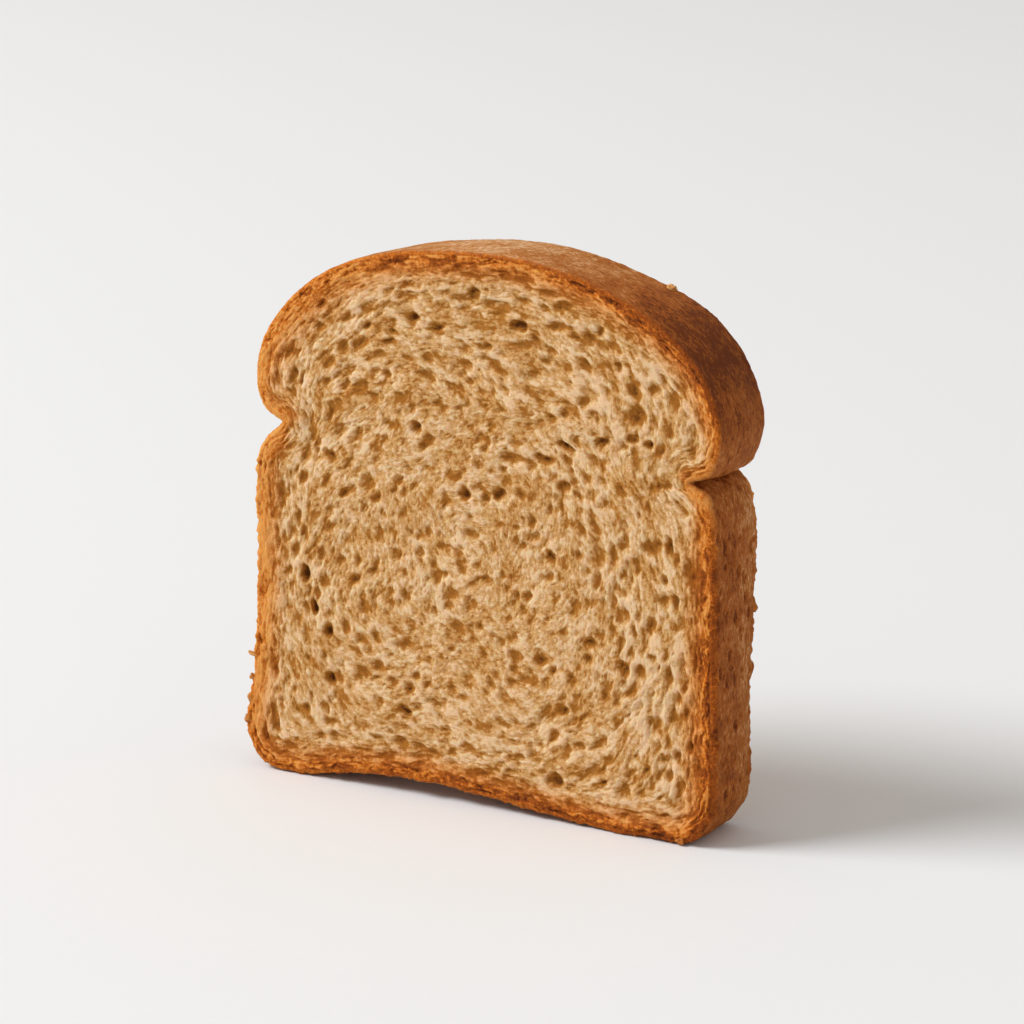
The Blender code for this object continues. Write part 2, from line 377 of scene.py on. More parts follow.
# The bubbles that the knife opened widest in the front face: the place of each, its half width
# and half height, its tilt in degrees and its depth
WIDE_BUBBLES = (
    (-14.7, 102.8, 1.9, 1.3, -10, 2.4), (-9, 101.5, 2.9, 1.2, 10, 1.5),
    (-0.1, 108.8, 1.9, 1.6, 0, 1.8), (3.4, 107.6, 1.6, 1.1, 0, 1.4), (-25.7, 99.8, 1.8, 0.9, 20, 1.5),
    (-27.2, 96.2, 2.5, 1.2, 30, 1.2), (-36.7, 103.2, 1.3, 0.9, 0, 1.4),
    (-37.4, 98.6, 1.6, 1.2, 30, 1.4), (-24.3, 85.1, 1.9, 1.2, 0, 1.4), (-17, 86, 1.8, 1, 0, 1.4),
    (-13.7, 79.8, 1.3, 1.7, 20, 1.9), (-2.8, 94.1, 2.8, 1.6, 0, 1.2), (2.8, 98.6, 2.2, 1.1, 0, 1.5),
    (-34.9, 71.5, 1.6, 1.1, -20, 1.5), (-34.5, 80.9, 1.4, 2.2, -10, 1.2),
    (-41.9, 86.4, 0.9, 1.1, 0, 1.3), (-20.9, 90.3, 1.4, 1.2, 0, 1.4), (-38.3, 72.7, 1.1, 2.4, 0, 1.2),
    (-31.2, 95, 1.2, 1.3, 0, 1.2), (-41.6, 65.8, 1.2, 1.6, -10, 1.4), (-25.7, 66.7, 1.9, 1.9, 0, 1.2),
    (10.8, 103.6, 2.2, 1.3, 0, 1.9), (19.7, 104.7, 2.5, 1.1, 0, 1.5), (20.6, 108.4, 1.9, 1.2, 0, 1.2),
    (29.5, 104.2, 1.3, 1.2, 0, 1.8), (27.2, 103, 1.9, 1.8, 20, 1.5), (33.8, 97.6, 1, 1.3, 20, 1.8),
    (37.6, 93.4, 1.6, 2.4, 15, 1.6), (41.8, 93.9, 1.9, 1.6, 30, 1.6), (37.9, 88.1, 2.1, 2.6, 15, 1.5),
    (30.2, 81.9, 1.9, 1.3, 0, 2), (37.3, 83.5, 1.6, 1.3, 0, 1.6), (41, 82.4, 0.9, 1, 0, 1.9),
    (34.5, 81.9, 1.2, 1.3, 0, 1.4), (50.6, 82, 0.9, 1.8, 0, 1.6), (26.1, 90.1, 1.9, 1.6, 30, 1.4),
    (21.8, 96, 1.6, 1.6, 0, 1.2), (21.5, 86.8, 1.2, 1.1, 0, 1.4), (21.9, 79.8, 2.2, 1, -10, 1.8),
    (16.6, 76.6, 2.9, 1.2, -5, 1.7), (9, 76, 3.4, 1.5, -5, 1.4), (37.9, 78.7, 1.6, 1.1, 0, 1.4),
    (21.6, 71.8, 1.3, 1.2, 0, 1.6), (17.5, 97.3, 1.9, 1, 0, 1.3), (11.9, 108.5, 2.8, 1.1, 0, 1.1),
    (24.4, 81.7, 1.2, 1.6, 20, 1.3), (44.3, 95.7, 0.9, 1.6, 20, 1.2), (-41.6, 44.9, 1.4, 1.9, 8, 2.6),
    (-39.5, 38.1, 0.8, 2.0, 12, 2.6), (-36.1, 33.4, 1.6, 1.9, -5, 2.4),
    (-35.3, 23.1, 1.8, 1.3, -15, 2.0), (-41.4, 15.4, 1.1, 1.3, 0, 1.6), (-35.1, 13.1, 2.8, 1, -10, 1.3),
    (-45, 19.1, 0.5, 1.2, 0, 1.6), (-2, 67.3, 1.6, 1.6, 0, 2.2), (3.1, 67.1, 1.4, 1.3, 0, 1.7),
    (6, 68.3, 1.4, 1.6, 0, 1.8), (-15.9, 23.8, 1.6, 1.3, 0, 1.5), (-17.2, 18.4, 2, 1.3, -20, 1.5),
    (-9.5, 21.2, 2.8, 1, -8, 1.4), (-36.6, 44.2, 1.6, 1.8, 0, 1.2), (-37.2, 49.9, 1.1, 1.7, 0, 1.5),
    (-41.6, 53.6, 1.1, 2.4, 0, 1.3), (-27.5, 40, 1.1, 2, 0, 1.3), (-24.1, 42.4, 1.1, 1.3, 0, 1.1),
    (-27.4, 25.6, 1.9, 1.3, -30, 1.3), (-24.2, 33.7, 1.1, 1.7, 20, 1.2),
    (-3.9, 38.5, 1.9, 1.3, 0, 1.2), (-5.1, 45.6, 2.4, 1.3, 0, 1), (-17.4, 33.1, 2.8, 1.2, 15, 1.1),
    (-18.8, 52.6, 1.4, 1.7, 0, 1.2), (-7.2, 55.2, 2.5, 1.1, 0, 1), (-0.5, 58.7, 2.6, 1.1, 0, 1.1),
    (19.1, 9.2, 2.3, 1.4, 0, 2.0), (35.5, 9.8, 1.8, 1.8, 0, 1.5), (30.8, 10.8, 1.3, 0.9, 0, 1.6),
    (41.6, 61.5, 2.6, 1.9, 0, 1.5), (45.6, 62.4, 1.1, 2, 8, 1.7), (35.1, 61.3, 1.5, 1.9, 0, 1.4),
    (29.4, 58.1, 1.9, 3.2, 0, 1.3), (32.8, 58.6, 1.1, 3, 0, 1.2), (44.7, 55.4, 1.2, 1.3, 0, 1.7),
    (44.4, 50.8, 1.2, 1.8, 0, 1.5), (47, 50.8, 1.1, 1.9, 0, 1.5), (41.8, 45.2, 1.4, 2.3, -25, 1.6),
    (27.6, 39.7, 1.5, 1.6, 0, 1.7), (15.8, 34.4, 1.9, 1.3, 0, 1.7), (27.2, 36.1, 1.3, 0.9, 0, 1.6),
    (35.3, 35.6, 1.7, 1.6, 0, 1.7), (39.2, 35.4, 1.8, 1.3, 0, 1.5), (42.2, 38.7, 1.1, 1, 0, 1.5),
    (45.7, 35.4, 1.5, 2.2, 0, 1.5), (23.3, 31.3, 1.3, 1.5, 0, 1.3), (42.7, 24.7, 2.1, 2, -40, 1.7),
    (21, 24.5, 1.5, 1.3, 0, 1.4), (47.8, 18.9, 1.2, 1.6, 0, 1.7), (13.9, 14.1, 1.3, 1.5, 0, 1.2),
    (50.8, 21.5, 0.8, 1.5, 0, 1.4), (46.3, 14.4, 1.1, 1.6, 0, 1.5), (18.1, 56.3, 1.5, 1.1, 0, 1.6),
    (21.2, 71.3, 1.5, 1.4, 0, 1.6), (34.5, 47, 2.5, 2.2, -30, 1.3), (25.3, 17.4, 1.7, 1.1, 0, 1.3),
    (45.5, 74.8, 6.0, 0.8, 10, 1.1),
)


def opened(x, z):
    """How deep the widest bubbles go, and how much of each point belongs to one, from 0 to 1."""
    depth, near = np.zeros_like(x), np.zeros_like(x)
    for middle_x, middle_z, wide, tall, tilt, deep in WIDE_BUBBLES:
        turn = math.radians(tilt)
        dx, dz = x - CENTRE_X - middle_x, z - middle_z
        u = (dx * math.cos(turn) + dz * math.sin(turn)) / wide
        v = (dz * math.cos(turn) - dx * math.sin(turn)) / tall
        inside = 1.0 - u * u - v * v
        depth = np.maximum(depth, deep * np.maximum(inside, 0.0)**0.7)
        near = np.maximum(near, smooth_step(-2.2, -0.2, inside))
    return depth, near


def flow(x, z, rim_gap, rim_way, seed):
    """Which way the dough had flowed at each point, and how far it drew the bubbles out."""
    east, north = x / FACE_HALF[0], (z - FACE_MIDDLE) / FACE_HALF[1]
    reach = np.abs(east)**FACE_SQUARENESS + np.abs(north)**FACE_SQUARENESS
    reach = reach**(1 / FACE_SQUARENESS)
    grain = np.arctan2(east * np.abs(east), -north * np.abs(north))
    grain = grain + 1.5 * hills(x, np.zeros_like(x), z, 9.0, seed) * (1.0 - 0.8 * reach)
    lean = smooth_step(12.0, 3.0, rim_gap)
    doubled = [softened((1.0 - lean) * turn(2.0 * grain) + lean * turn(2.0 * rim_way), 18)
               for turn in (np.cos, np.sin)]
    grain = 0.5 * np.arctan2(doubled[1], doubled[0])
    stretch = 1.2 + 1.0 * smooth_step(0.35, 0.9, reach) + 0.8 * smooth_step(7.0, 2.0, rim_gap)
    return grain, stretch


def cut_face(ring, side, seed):
    """One cut face: its points, then how far each lies below the crumb round it, for the painted
    shade in the pores, its share of the rim's reach, its colour mottling with painted highlights on
    the raised threads, how upright its fibres are and how dark the rim is there."""
    sheet = spread(ring)
    x, z = sheet[..., 0], sheet[..., 1]
    flat = np.zeros_like(x)
    rim_gap, rim_way = nearest_edge(sheet, ring)
    bent_x, bent_z = x, z
    for size, push, step in ((2.6, 0.4, 0), (1.2, 0.25, 20), (0.6, 0.15, 40)):
        bent_x = bent_x + push * hills(x, flat, z, size, seed + step)
        bent_z = bent_z + push * hills(x, flat, z, size, seed + step + 1)
    grain, stretch = flow(x, z, rim_gap, rim_way, seed + 4)
    calm = smooth_step(0.8, 3.2, rim_gap)

    strands = 0.6 * strew(bent_x, bent_z, grain, 1.8 * stretch, 1.8, 0.8, seed + 10)
    strands += strew(x, z, grain, 1.9 * stretch, 0.95, 0.42, seed + 11)
    torn = strew(bent_x, bent_z, grain, stretch, 2.9, 2.3, seed + 12)
    torn += 0.9 * strew(bent_x, bent_z, grain, stretch, 1.7, 1.4, seed + 13)
    torn += 0.3 * strands
    fibres = strew(bent_x, bent_z, grain, 1.0 + 0.6 * stretch, 0.5, 0.48, seed + 14)
    fluff = strew(x, z, grain, 1.4, 0.3, 0.36, seed + 16)
    swell = SWELL_HEIGHT * hills(x, flat, z, 8.0, seed + 15)

    wide, near = opened(bent_x, bent_z) if side < 0 else (flat, flat)
    depth = flat
    for pitch, radius, sink, share, step in (
            (4.2, (0.6, 1.1), (-0.2, 0.3), 0.45, 5), (2.8, (0.45, 0.8), (-0.5, 0.0), 0.4, 6)):
        depth = carve(
            depth, bent_x, bent_z, grain, stretch, pitch, radius, sink, share, seed + step)
    depth = np.maximum(0.8 * depth * (1.0 - 0.7 * near), 0.78 * wide)
    depth = np.maximum(depth, 0.8 * smooth_step(0.05, 1.4, -torn))
    depth = softened(depth * (0.55 + 0.45 * smooth_step(2.0, 5.0, rim_gap)), 3)
    height = STRAND_HEIGHT * strands + FIBRE_HEIGHT * fibres + FLUFF_HEIGHT * fluff
    height = height + swell - depth
    # How far each point lies below the crumb round it, which the material paints as shade in the pores
    pore = 1.5 * (softened(np.maximum(height, -0.9), 75) - height)
    pore = np.clip(pore, -0.4, 2.0) * (0.6 + 0.4 * calm)
    tone_and_highlight = 0.35 * strew(bent_x, bent_z, grain, 1.3 * stretch, 4.4, 4.0, seed + 21)
    tone_and_highlight += 0.6 * strew(bent_x, bent_z, grain, 1.3 * stretch, 2.0, 1.8, seed + 15)
    # Raised strands, fibres and fluff are painted lighter: a painted highlight on their crests
    tone_and_highlight -= 0.2 * fibres + 0.15 * fluff + 0.3 * strands
    flaky = crags(x, flat + side * THICKNESS / 2, z) * (1.0 - calm) * FLAKE_SHARE
    height = height * (0.6 + 0.4 * calm) + 0.1 * fibres * (1.0 - calm) + flaky
    drift = 0.35 * depth
    x = x + drift * hills(x, flat, z, 2.6, seed + 17)
    z = z + drift * hills(x, flat, z, 2.6, seed + 18)
    points = np.stack([x, side * (THICKNESS / 2 + height), z], axis=-1)
    # Raised flakes and fibres near the rim get less of the painted pore shade
    pore = pore - 0.8 * flaky - 0.3 * fibres * (1.0 - calm)
    reach, shade = rim_at(x, z)
    return points, pore, rim_gap / reach, tone_and_highlight, np.sin(grain)**2, shade


front_points, front_pore_shade, front_gap, front_tone_and_highlight, front_upright, front_shade = cut_face(
    front_ring - outward * edge_round[:, None], -1.0, 100)
back_points, back_pore_shade, back_gap, back_tone_and_highlight, back_upright, back_shade = cut_face(
    back_ring - outward * edge_round[:, None], 1.0, 200)


# The crust
# The outside of the loaf dried and browned in the oven and again in the toaster. It is smooth
# over the dome, streaked and pitted down the sides where it leaned on the tin, and ragged along
# the two cut edges.
RIM_ROWS = 56
# Where the crust begins on the strip that its pits are drawn on, and how deep they go
STRIP_START = 50.0
PIT_DEPTH = 0.7


def rim_rows():
    """Rows of points from the front edge to the back one, with their pit depth and edge gap."""
    turn = (edge_round / THICKNESS)[None, :]
    bend = np.radians(np.arange(15.0, 91.0, 15.0))[:, None]
    part = np.linspace(0.0, 1.0, RIM_ROWS - 2 * len(bend) + 2)[1:-1, None]
    lead, lead_inset = turn * (1.0 - np.cos(bend)), edge_round * (1.0 - np.sin(bend))
    share = np.vstack([lead, turn + part * (1.0 - 2.0 * turn), 1.0 - lead[::-1]])
    bulge = np.repeat(-SIDE_BULGE * np.sin(np.pi * part), turn.shape[1], axis=1)
    inset = np.vstack([lead_inset, bulge, lead_inset[::-1]])
    tilt = np.vstack([bend, np.full_like(part, math.pi / 2), math.pi - bend[::-1]])
    x = front_ring[None, :, 0] * (1 - share) + back_ring[None, :, 0] * share
    z = front_ring[None, :, 1] * (1 - share) + back_ring[None, :, 1] * share
    x = x - outward[None, :, 0] * inset
    z = z - outward[None, :, 1] * inset
    y = THICKNESS * (share - 0.5)

    gap = THICKNESS * (0.5 - np.abs(share - 0.5))
    near_edge = 1.0 - smooth_step(0.6, 2.6, gap + 0.8 * hills(x, y, z, 2.5, 41))
    on_dome = smooth_step(76.0, 84.0, z)
    steps = np.hypot(*(np.roll(front_ring, -1, axis=0) - front_ring).T)
    along = (np.cumsum(steps) - ACROSS * CELL / 2) % steps.sum()
    along = along[None, :] + np.zeros_like(x)
    over_strip, zero, grow = y + STRIP_START, np.zeros_like(x), np.full_like(x, 2.2)
    pits = carve(zero, along, over_strip, zero, grow, 3.4, (0.4, 0.9), (-0.35, 0.15), 0.45, 51)
    pits = carve(pits, along, over_strip, zero, grow, 1.6, (0.25, 0.55), (-0.3, 0.0), 0.6, 52)
    pits = pits * (1.0 - 0.85 * on_dome)
    wrinkles = 0.09 * hills(x, y, z, 0.9, 42) + 0.16 * hills(x, y, z, 2.2, 43)
    wrinkles += 0.1 * strew(along, over_strip, zero, grow, 0.9, 0.8, 53)
    wrinkles = wrinkles * (1.0 - 0.6 * on_dome) + 0.28 * hills(x, y, z, 9.0, 44)
    nibbled = smooth_step(45.0, 52.0, np.abs(x)) * smooth_step(76.0, 70.0, z)
    nibbled = nibbled * smooth_step(3.0, 10.0, z)
    push = wrinkles - softened(pits) * PIT_DEPTH
    ragged = 0.45 - 0.25 * on_dome + 0.55 * nibbled + 0.35 * smooth_step(6.0, 4.0, z)
    push = push * (1.0 - near_edge) + crags(x, y, z) * near_edge * ragged
    face_way, out_way = np.cos(tilt), np.sin(tilt)
    points = np.stack([
        x + outward[None, :, 0] * push * out_way,
        y - push * face_way,
        np.maximum(z + outward[None, :, 1] * push * out_way, 0.0),
    ], axis=-1)
    return points, pits, gap, along


crust_points, crust_pits, crust_gap, crust_along = rim_rows()


# The slice
# One piece of bread with nothing fixed to it: the front face, the crust round it and the back
# face are one closed skin. Its map for painting has the two faces side by side, and the
# crust above them in two strips.
MM = 0.001
MAP_WIDTH = 245.0
MAP_MARGIN = 2.0
FRONT_MIDDLE = 60.0
BACK_MIDDLE = 182.0
STRIPS_FROM = 124.0
STRIP_PITCH = 24.0


def slice_faces():
    """The corners of every four-sided patch: the front's, the back's and the crust's."""
    rows, columns = UP + 1, ACROSS + 1
    index = np.arange(rows * columns).reshape(rows, columns)
    front = np.stack([index[:-1, :-1], index[:-1, 1:], index[1:, 1:], index[1:, :-1]], axis=-1)
    front = front.reshape(-1, 4)
    back = front[:, ::-1] + rows * columns
    border = np.concatenate([
        index[0, :-1], index[:-1, -1], index[-1, :0:-1], index[:0:-1, 0]])
    between = np.arange(RIM_ROWS * len(border)).reshape(RIM_ROWS, -1) + 2 * rows * columns
    loops = np.vstack([border, between, border + rows * columns])
    beside = np.roll(loops, -1, axis=1)
    crust = np.stack([loops[:-1], loops[1:], beside[1:], beside[:-1]], axis=-1)
    return front, back, crust.reshape(-1, 4), len(border)


front_faces, back_faces, crust_faces, around = slice_faces()
corners = np.vstack([front_faces, back_faces, crust_faces])
points = np.vstack([front_points.reshape(-1, 3), back_points.reshape(-1, 3),
                    crust_points.reshape(-1, 3)])
points[:, 0] -= CENTRE_X

slice_mesh = bpy.data.meshes.new("toast")
slice_mesh.vertices.add(len(points))
slice_mesh.vertices.foreach_set("co", (points * MM).astype(np.float32).ravel())
slice_mesh.loops.add(corners.size)
slice_mesh.loops.foreach_set("vertex_index", corners.astype(np.int32).ravel())
slice_mesh.polygons.add(len(corners))
slice_mesh.polygons.foreach_set("loop_start", np.arange(0, corners.size, 4, dtype=np.int32))
slice_mesh.update(calc_edges=True)
slice_mesh.validate()
slice_mesh.shade_smooth()


def paint(name, front, back, crust):
    """A value at each point of the slice, for its material to read."""
    layer = slice_mesh.attributes.new(name, "FLOAT", "POINT")
    values = np.concatenate([front.ravel(), back.ravel(), crust.ravel()])
    layer.data.foreach_set("value", values.astype(np.float32))


def bake_level(points):
    """How dark the oven browned the crust, from 0 to 1: most on the shoulders of the dome, least
    over the crown, where the paleness is partly a painted sheen.
    """
    x, z = points[..., 0], points[..., 2]
    level = np.full_like(x, 0.62)
    level += 0.6 * np.exp(-((x - 46.0) / 17.0)**2 - ((z - 100.0) / 13.0)**2)
    level += 0.2 * np.exp(-((x + 46.0) / 14.0)**2 - ((z - 104.0) / 8.0)**2)
    level -= 0.12 * smooth_step(50.0, 72.0, z) * smooth_step(77.0, 75.0, z)
    level -= 0.07 * smooth_step(70.0, 50.0, z)
    # Paler over the crown: partly its own lighter baking and partly a painted sheen
    level -= 0.42 * np.exp(-((x / 30.0)**2)) * smooth_step(98.0, 112.0, z)
    level += 0.1 * smooth_step(20.0, 4.0, z)
    return level


# The pores of the crumb and the pits of the crust, which the material paints darker as shade
paint("pore_shade", front_pore_shade, back_pore_shade, crust_pits)
past_edge = crust_gap * (1.0 + 1.5 * smooth_step(72.0, 80.0, crust_points[..., 2]))
paint("rim", front_gap, back_gap, -past_edge)
# Random crumb mottling with a painted highlight on the raised threads
paint("tone_and_highlight", front_tone_and_highlight, back_tone_and_highlight, np.zeros_like(crust_pits))
paint("upright", front_upright, back_upright, np.zeros_like(crust_pits))
paint("along", np.zeros_like(front_gap), np.zeros_like(back_gap), crust_along)
behind = crust_points[..., 1] + THICKNESS / 2
uneven = 0.1 * smooth_step(11.0, 8.5, behind) - 0.12 * smooth_step(9.5, 13.0, behind)
uneven *= smooth_step(80.0, 72.0, crust_points[..., 2])
# How dark the crust baked, with a painted sheen making the crown paler
paint("bake_and_crown_sheen", bake_level(front_points), bake_level(back_points),
      bake_level(crust_points) + uneven)
paint("shade", front_shade, back_shade, rim_at(crust_points[..., 0], crust_points[..., 2])[1])


def flat_map():
    """Where each corner of each patch lies on the map, as shares of the map's width."""
    front = points[front_faces][..., [0, 2]] + [FRONT_MIDDLE, MAP_MARGIN]
    back = points[back_faces][..., [0, 2]] * [-1.0, 1.0] + [BACK_MIDDLE, MAP_MARGIN]
    step = np.arange(around)
    half = around // 2
    strip = np.where(step < half, 0, 1)
    start = (step % half) * CELL + MAP_MARGIN
    row_width = THICKNESS / (RIM_ROWS + 1)
    rows = np.arange(RIM_ROWS + 1) * row_width
    u = np.stack([start, start, start + CELL, start + CELL], axis=-1)
    u = np.repeat(u[None], RIM_ROWS + 1, axis=0)
    low = rows[:, None] + STRIPS_FROM + STRIP_PITCH * strip[None]
    high = low + row_width
    v = np.stack([low, high, high, low], axis=-1)
    crust = np.stack([u, v], axis=-1).reshape(-1, 4, 2)
    return np.vstack([front, back, crust]) / MAP_WIDTH


layer = slice_mesh.uv_layers.new(name="OFBake")
layer.data.foreach_set("uv", flat_map().astype(np.float32).ravel())


# The finish of the bread
# Webs of crumb are light tan where they dried, with a painted highlight on the raised threads;
# the pores carry painted shade, amber and near black in the deepest, and the colour runs
# through orange to brown towards the crust.
bread, tree, surface = new_material("toasted_bread")


def painted(name):
    """The value painted on the points of the mesh under this name."""
    return add_node(tree, "ShaderNodeAttribute", attribute_name=name).outputs["Fac"]


def noise_of(tree, place, scale, detail, roughness):
    """Cloudy random values about the place, from 0 to 1."""
    made = add_node(tree, "ShaderNodeTexNoise", {
        "Vector": place, "Scale": scale, "Detail": detail, "Roughness": roughness})
    return made.outputs["Fac"]


def remap(tree, value, low, high):
    """From 0 where the value is low to 1 where it is high, with both ends eased."""
    made = add_node(
        tree, "ShaderNodeMapRange", {"Value": value, 1: low, 2: high},
        interpolation_type="SMOOTHSTEP")
    return made.outputs["Result"]


def mixed(tree, share, a, b, blend="MIX"):
    """The colour a with this share of the colour b."""
    made = add_node(
        tree, "ShaderNodeMix", {0: share, 6: a, 7: b}, data_type="RGBA", blend_type=blend)
    return made.outputs[2]


def maths(tree, operation, a, b, c=None):
    """The result of one sum with two or three values."""
    inputs = {0: a, 1: b} if c is None else {0: a, 1: b, 2: c}
    return add_node(tree, "ShaderNodeMath", inputs, operation=operation).outputs[0]


def fibre_group():
    """Fine threads of crumb that lie across or stand upright, as a mask."""
    group = bpy.data.node_groups.new("crumb_fibres", "ShaderNodeTree")
    for name, way, kind in (("Place", "INPUT", "Vector"), ("Upright", "INPUT", "Float"),
                            ("Scale", "INPUT", "Float"), ("Fibres", "OUTPUT", "Float")):
        group.interface.new_socket(name=name, in_out=way, socket_type="NodeSocket" + kind)
    given = group.nodes.new("NodeGroupInput")
    ways = []
    for stretch in ((0.3, 0.6, 1.0), (1.0, 0.6, 0.3)):
        drawn = add_node(group, "ShaderNodeVectorMath", {
            0: given.outputs["Place"], 1: stretch}, operation="MULTIPLY").outputs[0]
        ways.append(add_node(group, "ShaderNodeTexNoise", {
            "Vector": drawn, "Scale": given.outputs["Scale"], "Detail": 3.0, "Roughness": 0.7,
            "Distortion": 0.6}).outputs["Fac"])
    both = add_node(group, "ShaderNodeMix", {0: given.outputs["Upright"], 2: ways[0], 3: ways[1]})
    group.links.new(both.outputs[0], group.nodes.new("NodeGroupOutput").inputs["Fibres"])
    return group


FIBRE_SCALE = 2400.0
crumb_fibres = fibre_group()
pore_shade, rim, tone_and_highlight, upright, along, bake_and_crown_sheen, shade = (
    painted(name) for name in ("pore_shade", "rim", "tone_and_highlight", "upright", "along", "bake_and_crown_sheen", "shade"))
place = add_node(tree, "ShaderNodeTexCoord").outputs["Object"]
threads = add_node(tree, "ShaderNodeGroup", node_tree=crumb_fibres)
threads.inputs["Scale"].default_value = FIBRE_SCALE
tree.links.new(place, threads.inputs["Place"])
tree.links.new(upright, threads.inputs["Upright"])
threads = threads.outputs["Fibres"]
grains = noise_of(tree, place, 2800.0, 2.0, 0.7)

# The crumb, from the bare webs down into the deepest pores, painted darker there as shade
WEB = (0.865, 0.60, 0.355, 1.0)
CRUMB = (0.68, 0.38, 0.14, 1.0)
# The pores' colours are painted shade: amber in the shallow ones, near black in the deepest
HOLLOW_SHADE = (0.45, 0.17, 0.022, 1.0)
DEEP_PORE_SHADOW = (0.14, 0.038, 0.005, 1.0)
NEAR_CRUST_TINT = (0.97, 0.74, 0.52, 1.0)
near_crust = remap(tree, rim, 3.0, 1.0)
mottle = noise_of(tree, place, 950.0, 4.0, 0.75)
# How deep in a pore each spot is, for the painted shade there, with random mottling, uneven
# from one thread and grain to the next
level = maths(tree, "MULTIPLY_ADD", threads, 1.2, -1.8)
level = maths(tree, "MULTIPLY_ADD", mottle, 2.0, level)
level = maths(tree, "MULTIPLY_ADD", grains, 0.5, level)
level = maths(tree, "ADD", level, maths(tree, "MULTIPLY_ADD", tone_and_highlight, 0.5, pore_shade))
level = maths(tree, "MULTIPLY_ADD", near_crust, 0.2, level)
crumb = mixed(tree, remap(tree, level, -0.5, 0.05), WEB, CRUMB)
crumb = mixed(tree, remap(tree, level, 0.0, 0.6), crumb, HOLLOW_SHADE)
crumb = mixed(tree, remap(tree, level, 0.8, 1.9), crumb, DEEP_PORE_SHADOW)
crumb = mixed(tree, near_crust, crumb, NEAR_CRUST_TINT, "MULTIPLY")

# The browned rim round each face, from gold through rust to charred specks
RIM_GOLD = (0.82, 0.36, 0.085, 1.0)
RIM_ORANGE = (0.68, 0.20, 0.018, 1.0)
RIM_RUST = (0.37, 0.088, 0.008, 1.0)
RIM_CHAR = (0.13, 0.026, 0.003, 1.0)
wander = maths(tree, "MULTIPLY_ADD", noise_of(tree, place, 420.0, 4.0, 0.65), 1.6, -0.8)
toasted = maths(tree, "ADD", rim, wander)
# How charred each spot is: patchy, most along the outer edge of the rim, and darker in the pores
# and pits, where it is painted shade
char_and_pore_shade = maths(tree, "MULTIPLY_ADD", noise_of(tree, place, 1500.0, 4.0, 0.8), 4.0, -2.65)
char_and_pore_shade = maths(tree, "MULTIPLY_ADD", tone_and_highlight, 0.8, char_and_pore_shade)
char_and_pore_shade = maths(tree, "ADD", threads, char_and_pore_shade)
char_and_pore_shade = maths(tree, "MULTIPLY_ADD", pore_shade, 0.9, char_and_pore_shade)
char_and_pore_shade = maths(tree, "ADD", char_and_pore_shade, shade)
char_and_pore_shade = maths(tree, "MULTIPLY_ADD", wander, -0.7, char_and_pore_shade)
edge_char = maths(tree, "MULTIPLY", shade, 0.3)
char_and_pore_shade = maths(tree, "MULTIPLY_ADD", remap(tree, rim, 0.6, 0.0), edge_char, char_and_pore_shade)
rim_colour = mixed(tree, remap(tree, char_and_pore_shade, -0.2, 0.6), RIM_GOLD, RIM_ORANGE)
rim_colour = mixed(tree, remap(tree, char_and_pore_shade, 0.5, 1.2), rim_colour, RIM_RUST)
rim_colour = mixed(tree, remap(tree, char_and_pore_shade, 1.3, 2.2), rim_colour, RIM_CHAR)
bread_colour = mixed(tree, remap(tree, toasted, 1.7, 0.3), crumb, rim_colour)

# The crust, from the pale crown to the darkest shoulder, with streaks along the loaf's outline;
# the crown's paleness is partly a painted sheen
STREAK_STRETCH = 0.0004
# The palest crust colour, over the crown, is partly a painted sheen
CRUST_PALE_AND_SHEEN = (0.83, 0.52, 0.31, 1.0)
CRUST_TAN = (0.61, 0.25, 0.070, 1.0)
CRUST_BROWN = (0.41, 0.110, 0.014, 1.0)
CRUST_DARK = (0.17, 0.037, 0.005, 1.0)
across = add_node(tree, "ShaderNodeSeparateXYZ", {0: place}).outputs["Y"]
strip = add_node(tree, "ShaderNodeCombineXYZ", {
    0: maths(tree, "MULTIPLY", along, STREAK_STRETCH), 1: across}).outputs[0]
streaks = noise_of(tree, strip, 1100.0, 5.0, 0.75)
blotches = noise_of(tree, place, 200.0, 5.0, 0.7)
freckles = noise_of(tree, strip, 2000.0, 4.0, 0.85)
# How dark each spot is baked, and darker in the pits, which is painted shade
bake_and_pit_shade = maths(tree, "MULTIPLY_ADD", streaks, 1.5, bake_and_crown_sheen)
bake_and_pit_shade = maths(tree, "MULTIPLY_ADD", freckles, 2.4, bake_and_pit_shade)
bake_and_pit_shade = maths(tree, "MULTIPLY_ADD", remap(tree, blotches, 0.35, 0.65), 0.4, bake_and_pit_shade)
bake_and_pit_shade = maths(tree, "MULTIPLY_ADD", pore_shade, 0.7, bake_and_pit_shade)
bake_and_pit_shade = maths(tree, "ADD", bake_and_pit_shade, -2.2)
crust_colour = mixed(tree, remap(tree, bake_and_pit_shade, -0.35, 0.25), CRUST_PALE_AND_SHEEN, CRUST_TAN)
crust_colour = mixed(tree, remap(tree, bake_and_pit_shade, 0.05, 0.62), crust_colour, CRUST_BROWN)
crust_colour = mixed(tree, remap(tree, bake_and_pit_shade, 0.62, 1.15), crust_colour, CRUST_DARK)
outer = remap(tree, maths(tree, "MULTIPLY_ADD", wander, 1.6, rim), 0.0, -2.6)
bread_colour = mixed(tree, outer, bread_colour, crust_colour)

